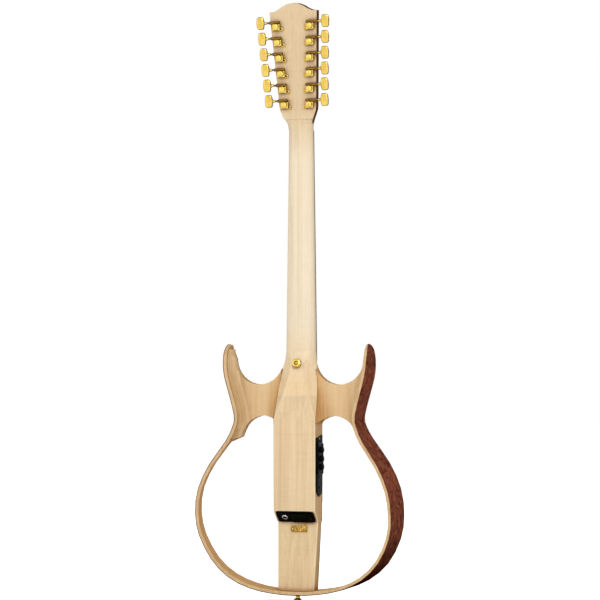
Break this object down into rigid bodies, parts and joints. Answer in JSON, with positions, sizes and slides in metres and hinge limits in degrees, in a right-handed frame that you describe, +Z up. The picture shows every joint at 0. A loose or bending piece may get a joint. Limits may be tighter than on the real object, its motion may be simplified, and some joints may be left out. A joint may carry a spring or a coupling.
{
  "type": "twelve-string acoustic-electric guitar",
  "caption": "Twelve-string acoustic-electric guitar with an open frame body, bent wood rim, narrow centre box, side preamp and gold tuners.",
  "frame": {"origin": "middle of the nut's lower edge, on the plane where the fingerboard is glued to the neck", "axes": "+Z up along the neck to the headstock, +X to the bass side, +Y out of the front towards the strings"},
  "size_m": [0.3891, 0.0739, 1.0749],
  "materials": {
    "maple": "clear satin lacquer",
    "pale_maple": "clear satin lacquer",
    "brown_veneer": "dark satin veneer",
    "rosewood": "oiled",
    "gold": "polished gold plate",
    "steel": "plain",
    "bone": "polished bone white",
    "black_plastic": "fine satin",
    "grey_plastic": "satin"
  },
  "bodies": {
    "guitar": {"battery": "steel", "body_box": "maple", "bridge": "rosewood", "bridge_pins": "bone", "catch_plate": "gold", "end_panel": "black_plastic", "fretboard": "rosewood", "frets": "steel", "headstock_veneer": "rosewood", "neck": "pale_maple", "nut": "bone", "output_jack": "steel", "pickup_strip": "steel", "preamp_housing": "black_plastic", "rim_bass": "maple", "rim_treble": "maple", "rim_veneer": "brown_veneer", "saddle": "bone", "strap_button_heel": "gold", "strap_button_tail": "gold", "strings": "steel", "tail_facing": "brown_veneer", "tail_plank": "maple", "top_plate": "brown_veneer", "truss_rod": "steel", "truss_rod_cover": "black_plastic", "tuner_housings_bass": "gold", "tuner_housings_treble": "gold", "wing_bass": "maple", "wing_treble": "maple"},
    "button_01": {"tuner_button_01": "gold"},
    "post_01": {"tuner_post_01": "gold"},
    "button_02": {"tuner_button_02": "gold"},
    "post_02": {"tuner_post_02": "gold"},
    "button_03": {"tuner_button_03": "gold"},
    "post_03": {"tuner_post_03": "gold"},
    "button_04": {"tuner_button_04": "gold"},
    "post_04": {"tuner_post_04": "gold"},
    "button_05": {"tuner_button_05": "gold"},
    "post_05": {"tuner_post_05": "gold"},
    "button_06": {"tuner_button_06": "gold"},
    "post_06": {"tuner_post_06": "gold"},
    "button_07": {"tuner_button_07": "gold"},
    "post_07": {"tuner_post_07": "gold"},
    "button_08": {"tuner_button_08": "gold"},
    "post_08": {"tuner_post_08": "gold"},
    "button_09": {"tuner_button_09": "gold"},
    "post_09": {"tuner_post_09": "gold"},
    "button_10": {"tuner_button_10": "gold"},
    "post_10": {"tuner_post_10": "gold"},
    "button_11": {"tuner_button_11": "gold"},
    "post_11": {"tuner_post_11": "gold"},
    "button_12": {"tuner_button_12": "gold"},
    "post_12": {"tuner_post_12": "gold"},
    "volume_knob": {"volume_knob": "grey_plastic"},
    "bass_knob": {"bass_knob": "grey_plastic"},
    "treble_knob": {"treble_knob": "grey_plastic"},
    "preamp_key": {"preamp_key": "grey_plastic"},
    "battery_door": {"battery_door": "black_plastic"},
    "catch_slider": {"catch_slider": "gold"}
  },
  "joints": [
    {"name": "button_01_turn", "type": "hinge", "parent": "guitar", "child": "button_01", "pos_m": [0.0235, -0.02937, 0.05181], "axis": [1, 0, 0], "continuous": true},
    {"name": "post_01_turn", "type": "hinge", "parent": "guitar", "child": "post_01", "pos_m": [0.0235, -0.00781, 0.04932], "axis": [0, 0.9848, 0.1736], "continuous": true},
    {"name": "button_02_turn", "type": "hinge", "parent": "guitar", "child": "button_02", "pos_m": [0.02514, -0.03425, 0.07948], "axis": [1, 0, 0], "continuous": true},
    {"name": "post_02_turn", "type": "hinge", "parent": "guitar", "child": "post_02", "pos_m": [0.02514, -0.01269, 0.07699], "axis": [0, 0.9848, 0.1736], "continuous": true},
    {"name": "button_03_turn", "type": "hinge", "parent": "guitar", "child": "button_03", "pos_m": [0.02678, -0.03913, 0.10716], "axis": [1, 0, 0], "continuous": true},
    {"name": "post_03_turn", "type": "hinge", "parent": "guitar", "child": "post_03", "pos_m": [0.02678, -0.01757, 0.10466], "axis": [0, 0.9848, 0.1736], "continuous": true},
    {"name": "button_04_turn", "type": "hinge", "parent": "guitar", "child": "button_04", "pos_m": [0.02842, -0.04401, 0.13483], "axis": [1, 0, 0], "continuous": true},
    {"name": "post_04_turn", "type": "hinge", "parent": "guitar", "child": "post_04", "pos_m": [0.02842, -0.02245, 0.13234], "axis": [0, 0.9848, 0.1736], "continuous": true},
    {"name": "button_05_turn", "type": "hinge", "parent": "guitar", "child": "button_05", "pos_m": [0.03006, -0.04889, 0.1625], "axis": [1, 0, 0], "continuous": true},
    {"name": "post_05_turn", "type": "hinge", "parent": "guitar", "child": "post_05", "pos_m": [0.03006, -0.02733, 0.16001], "axis": [0, 0.9848, 0.1736], "continuous": true},
    {"name": "button_06_turn", "type": "hinge", "parent": "guitar", "child": "button_06", "pos_m": [0.0317, -0.05377, 0.19018], "axis": [1, 0, 0], "continuous": true},
    {"name": "post_06_turn", "type": "hinge", "parent": "guitar", "child": "post_06", "pos_m": [0.0317, -0.03221, 0.18768], "axis": [0, 0.9848, 0.1736], "continuous": true},
    {"name": "button_07_turn", "type": "hinge", "parent": "guitar", "child": "button_07", "pos_m": [-0.0235, -0.02937, 0.05181], "axis": [-1, 0, 0], "continuous": true},
    {"name": "post_07_turn", "type": "hinge", "parent": "guitar", "child": "post_07", "pos_m": [-0.0235, -0.00781, 0.04932], "axis": [0, 0.9848, 0.1736], "continuous": true},
    {"name": "button_08_turn", "type": "hinge", "parent": "guitar", "child": "button_08", "pos_m": [-0.02514, -0.03425, 0.07948], "axis": [-1, 0, 0], "continuous": true},
    {"name": "post_08_turn", "type": "hinge", "parent": "guitar", "child": "post_08", "pos_m": [-0.02514, -0.01269, 0.07699], "axis": [0, 0.9848, 0.1736], "continuous": true},
    {"name": "button_09_turn", "type": "hinge", "parent": "guitar", "child": "button_09", "pos_m": [-0.02678, -0.03913, 0.10716], "axis": [-1, 0, 0], "continuous": true},
    {"name": "post_09_turn", "type": "hinge", "parent": "guitar", "child": "post_09", "pos_m": [-0.02678, -0.01757, 0.10466], "axis": [0, 0.9848, 0.1736], "continuous": true},
    {"name": "button_10_turn", "type": "hinge", "parent": "guitar", "child": "button_10", "pos_m": [-0.02842, -0.04401, 0.13483], "axis": [-1, 0, 0], "continuous": true},
    {"name": "post_10_turn", "type": "hinge", "parent": "guitar", "child": "post_10", "pos_m": [-0.02842, -0.02245, 0.13234], "axis": [0, 0.9848, 0.1736], "continuous": true},
    {"name": "button_11_turn", "type": "hinge", "parent": "guitar", "child": "button_11", "pos_m": [-0.03006, -0.04889, 0.1625], "axis": [-1, 0, 0], "continuous": true},
    {"name": "post_11_turn", "type": "hinge", "parent": "guitar", "child": "post_11", "pos_m": [-0.03006, -0.02733, 0.16001], "axis": [0, 0.9848, 0.1736], "continuous": true},
    {"name": "button_12_turn", "type": "hinge", "parent": "guitar", "child": "button_12", "pos_m": [-0.0317, -0.05377, 0.19018], "axis": [-1, 0, 0], "continuous": true},
    {"name": "post_12_turn", "type": "hinge", "parent": "guitar", "child": "post_12", "pos_m": [-0.0317, -0.03221, 0.18768], "axis": [0, 0.9848, 0.1736], "continuous": true},
    {"name": "volume_knob_turn", "type": "hinge", "parent": "guitar", "child": "volume_knob", "pos_m": [0.0433, -0.02375, -0.5765], "axis": [1, 0, 0], "range_deg": [-140, 140]},
    {"name": "bass_knob_turn", "type": "hinge", "parent": "guitar", "child": "bass_knob", "pos_m": [0.0433, -0.02375, -0.5925], "axis": [1, 0, 0], "range_deg": [-140, 140]},
    {"name": "treble_knob_turn", "type": "hinge", "parent": "guitar", "child": "treble_knob", "pos_m": [0.0433, -0.02375, -0.607], "axis": [1, 0, 0], "range_deg": [-140, 140]},
    {"name": "preamp_key_press", "type": "slide", "parent": "guitar", "child": "preamp_key", "axis": [-1, 0, 0], "range_m": [0, 0.001], "stiffness_N_per_m": 300, "springref_m": -0.001},
    {"name": "battery_door_hinge", "type": "hinge", "parent": "guitar", "child": "battery_door", "pos_m": [0.012, -0.04516, -0.69079], "axis": [-1, 0, 0], "range_deg": [0, 100]},
    {"name": "catch_slide", "type": "slide", "parent": "guitar", "child": "catch_slider", "axis": [0, -0.0984, -0.9951], "range_m": [0, 0.003]}
  ],
  "couplings": [
    {"joint": "post_01_turn", "follows": "button_01_turn", "ratio": 0.066667},
    {"joint": "post_02_turn", "follows": "button_02_turn", "ratio": 0.066667},
    {"joint": "post_03_turn", "follows": "button_03_turn", "ratio": 0.066667},
    {"joint": "post_04_turn", "follows": "button_04_turn", "ratio": 0.066667},
    {"joint": "post_05_turn", "follows": "button_05_turn", "ratio": 0.066667},
    {"joint": "post_06_turn", "follows": "button_06_turn", "ratio": 0.066667},
    {"joint": "post_07_turn", "follows": "button_07_turn", "ratio": 0.066667},
    {"joint": "post_08_turn", "follows": "button_08_turn", "ratio": 0.066667},
    {"joint": "post_09_turn", "follows": "button_09_turn", "ratio": 0.066667},
    {"joint": "post_10_turn", "follows": "button_10_turn", "ratio": 0.066667},
    {"joint": "post_11_turn", "follows": "button_11_turn", "ratio": 0.066667},
    {"joint": "post_12_turn", "follows": "button_12_turn", "ratio": 0.066667}
  ]
}
